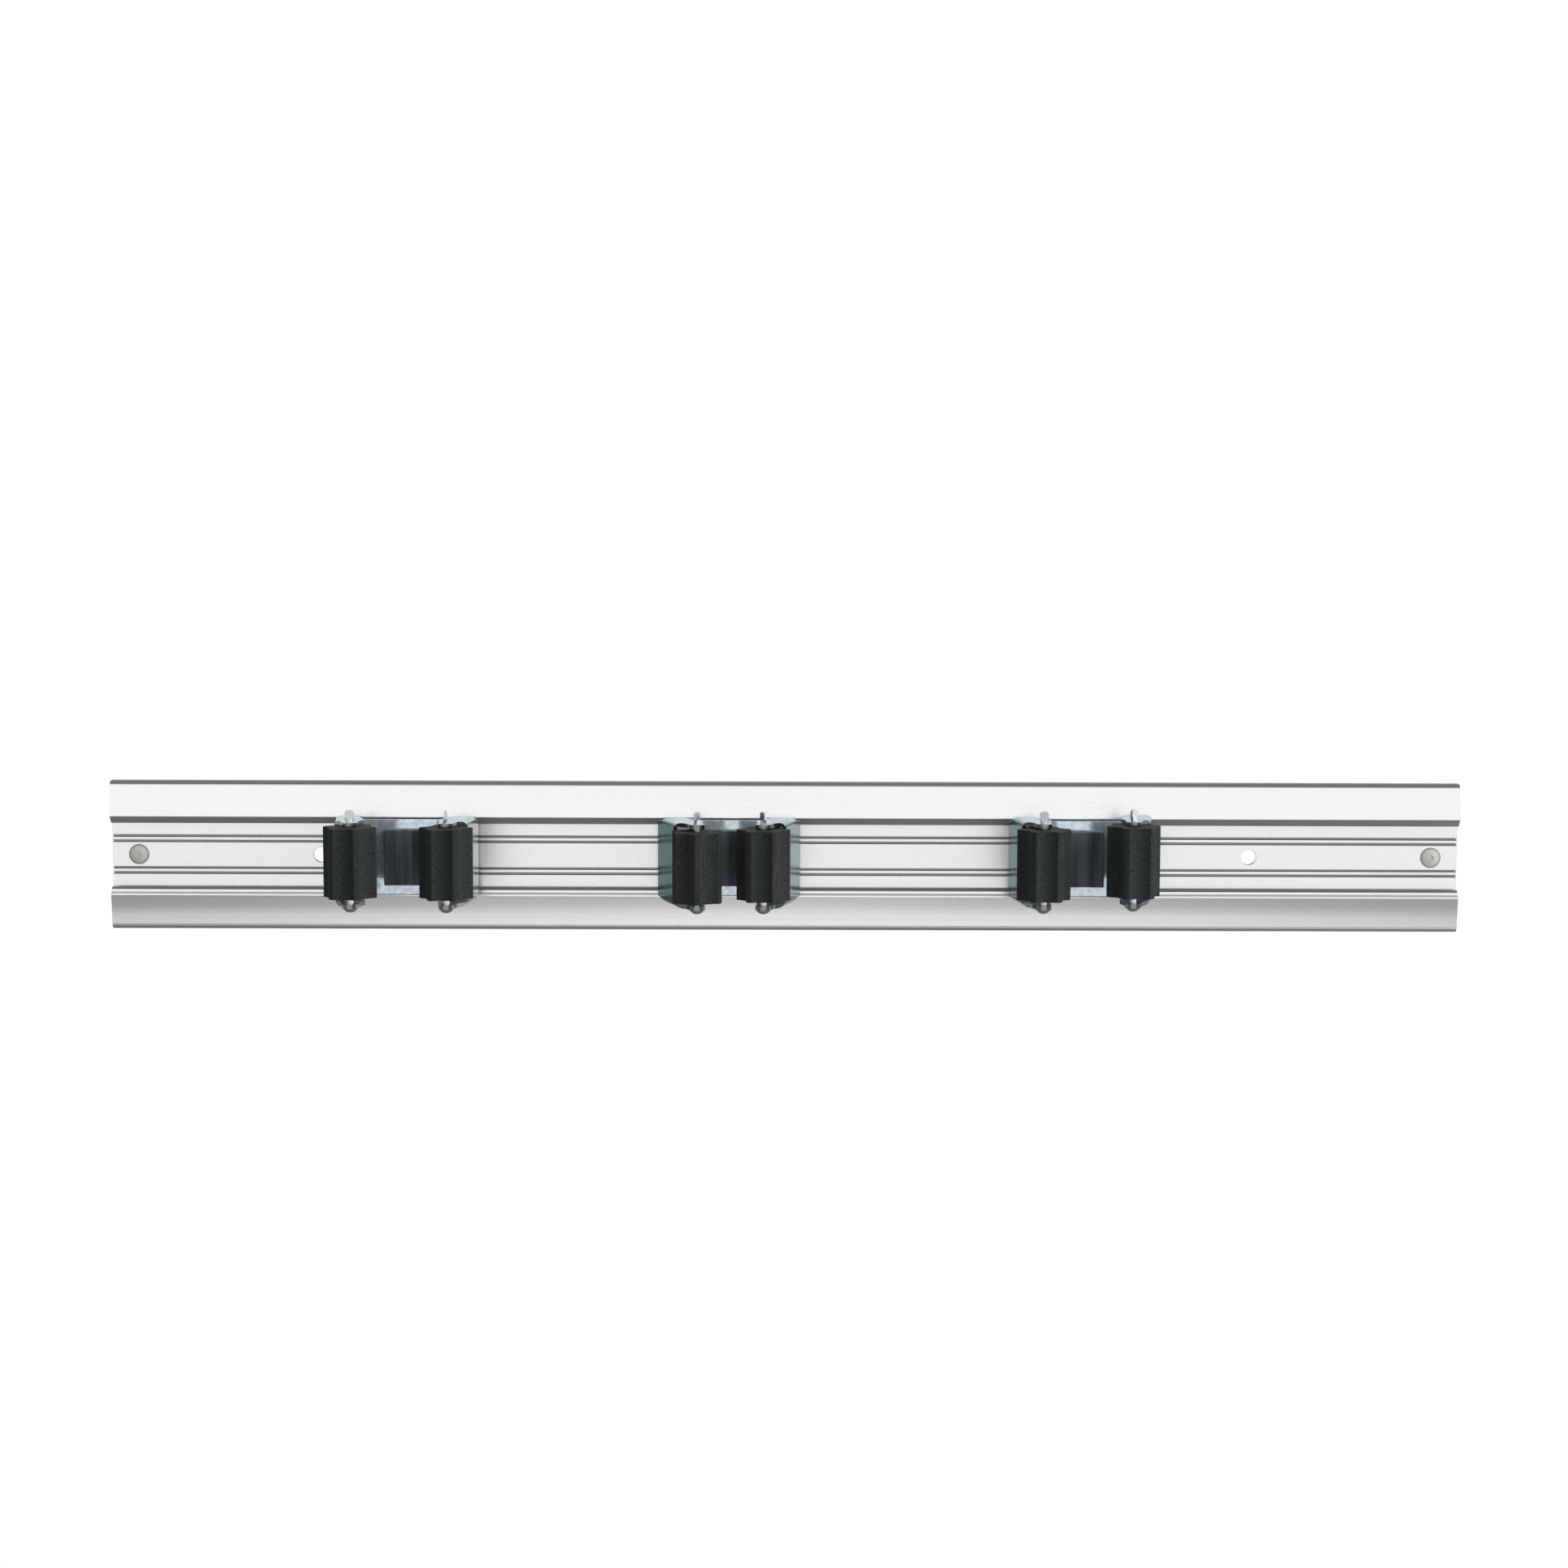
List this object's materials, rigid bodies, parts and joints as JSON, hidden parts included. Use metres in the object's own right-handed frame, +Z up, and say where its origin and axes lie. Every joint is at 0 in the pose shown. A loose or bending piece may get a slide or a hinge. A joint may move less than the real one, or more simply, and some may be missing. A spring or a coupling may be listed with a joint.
{
  "type": "tool holder rail",
  "caption": "Wall rail for hanging long-handled cleaning tools: an aluminium channel with sliding spring clips, each gripping a handle between fluted rubber rollers.",
  "frame": {"origin": "centre of the rail's back face, on the wall", "axes": "+X along the rail to the right as seen from the front, +Y into the wall, +Z up; the front faces -Y"},
  "size_m": [0.5, 0.0456, 0.0554],
  "materials": {
    "anodised_aluminium": "satin anodised extrusion",
    "rivet_aluminium": "dull",
    "zinc_steel": "bright zinc plating with a blue tint",
    "pin_steel": "plated",
    "screw_steel": "plated",
    "roller_rubber": "matt, dusty on the ridges",
    "buffer_rubber": "matt",
    "slider_plastic": "moulded",
    "bush_plastic": "moulded"
  },
  "bodies": {
    "rail": {"rail": "anodised_aluminium", "end_stop_rivets": "rivet_aluminium"},
    "left_holder": {"left_holder_base": "zinc_steel", "left_holder_slider": "slider_plastic", "left_holder_screws": "screw_steel", "left_holder_buffer": "buffer_rubber"},
    "left_arm_l": {"left_holder_arm_l": "zinc_steel", "left_holder_pin_l": "pin_steel"},
    "left_roller_l": {"left_holder_roller_l": "roller_rubber", "left_holder_bush_l": "bush_plastic"},
    "left_arm_r": {"left_holder_arm_r": "zinc_steel", "left_holder_pin_r": "pin_steel"},
    "left_roller_r": {"left_holder_roller_r": "roller_rubber", "left_holder_bush_r": "bush_plastic"},
    "middle_holder": {"middle_holder_base": "zinc_steel", "middle_holder_slider": "slider_plastic", "middle_holder_screws": "screw_steel", "middle_holder_buffer": "buffer_rubber"},
    "middle_arm_l": {"middle_holder_arm_l": "zinc_steel", "middle_holder_pin_l": "pin_steel"},
    "middle_roller_l": {"middle_holder_roller_l": "roller_rubber", "middle_holder_bush_l": "bush_plastic"},
    "middle_arm_r": {"middle_holder_arm_r": "zinc_steel", "middle_holder_pin_r": "pin_steel"},
    "middle_roller_r": {"middle_holder_roller_r": "roller_rubber", "middle_holder_bush_r": "bush_plastic"},
    "right_holder": {"right_holder_base": "zinc_steel", "right_holder_slider": "slider_plastic", "right_holder_screws": "screw_steel", "right_holder_buffer": "buffer_rubber"},
    "right_arm_l": {"right_holder_arm_l": "zinc_steel", "right_holder_pin_l": "pin_steel"},
    "right_roller_l": {"right_holder_roller_l": "roller_rubber", "right_holder_bush_l": "bush_plastic"},
    "right_arm_r": {"right_holder_arm_r": "zinc_steel", "right_holder_pin_r": "pin_steel"},
    "right_roller_r": {"right_holder_roller_r": "roller_rubber", "right_holder_bush_r": "bush_plastic"}
  },
  "joints": [
    {"name": "left_slide", "type": "slide", "parent": "rail", "child": "left_holder", "axis": [1, 0, 0], "range_m": [-0.0745, 0.024]},
    {"name": "left_arm_l_flex", "type": "hinge", "parent": "left_holder", "child": "left_arm_l", "pos_m": [-0.163, -0.00869, 0], "axis": [0, 0, -1], "range_deg": [-14.4, 13.6], "stiffness_Nm_per_rad": 1, "springref_deg": -11.4},
    {"name": "left_roller_l_spin", "type": "hinge", "parent": "left_arm_l", "child": "left_roller_l", "pos_m": [-0.15683, -0.03626, 0], "axis": [0, 0, 1], "continuous": true},
    {"name": "left_arm_r_flex", "type": "hinge", "parent": "left_holder", "child": "left_arm_r", "pos_m": [-0.116, -0.00869, 0], "axis": [0, 0, 1], "range_deg": [-14.4, 13.6], "stiffness_Nm_per_rad": 1, "springref_deg": -11.4},
    {"name": "left_roller_r_spin", "type": "hinge", "parent": "left_arm_r", "child": "left_roller_r", "pos_m": [-0.12217, -0.03626, 0], "axis": [0, 0, 1], "continuous": true},
    {"name": "middle_slide", "type": "slide", "parent": "rail", "child": "middle_holder", "axis": [1, 0, 0], "range_m": [-0.024, 0.029]},
    {"name": "middle_arm_l_flex", "type": "hinge", "parent": "middle_holder", "child": "middle_arm_l", "pos_m": [-0.0442, -0.00869, 0], "axis": [0, 0, -1], "range_deg": [-1, 27], "stiffness_Nm_per_rad": 1, "springref_deg": 2},
    {"name": "middle_roller_l_spin", "type": "hinge", "parent": "middle_arm_l", "child": "middle_roller_l", "pos_m": [-0.03181, -0.03408, 0], "axis": [0, 0, 1], "continuous": true},
    {"name": "middle_arm_r_flex", "type": "hinge", "parent": "middle_holder", "child": "middle_arm_r", "pos_m": [0.0028, -0.00869, 0], "axis": [0, 0, 1], "range_deg": [-5, 23], "stiffness_Nm_per_rad": 1, "springref_deg": -2},
    {"name": "middle_roller_r_spin", "type": "hinge", "parent": "middle_arm_r", "child": "middle_roller_r", "pos_m": [-0.00779, -0.03488, 0], "axis": [0, 0, 1], "continuous": true},
    {"name": "right_slide", "type": "slide", "parent": "rail", "child": "right_holder", "axis": [1, 0, 0], "range_m": [-0.029, 0.1045]},
    {"name": "right_arm_l_flex", "type": "hinge", "parent": "right_holder", "child": "right_arm_l", "pos_m": [0.0858, -0.00869, 0], "axis": [0, 0, -1], "range_deg": [-11.5, 16.5], "stiffness_Nm_per_rad": 1, "springref_deg": -8.5},
    {"name": "right_roller_l_spin", "type": "hinge", "parent": "right_arm_l", "child": "right_roller_l", "pos_m": [0.09336, -0.03591, 0], "axis": [0, 0, 1], "continuous": true},
    {"name": "right_arm_r_flex", "type": "hinge", "parent": "right_holder", "child": "right_arm_r", "pos_m": [0.1328, -0.00869, 0], "axis": [0, 0, 1], "range_deg": [-12.4, 15.6], "stiffness_Nm_per_rad": 1, "springref_deg": -9.4},
    {"name": "right_roller_r_spin", "type": "hinge", "parent": "right_arm_r", "child": "right_roller_r", "pos_m": [0.12567, -0.03603, 0], "axis": [0, 0, 1], "continuous": true}
  ]
}
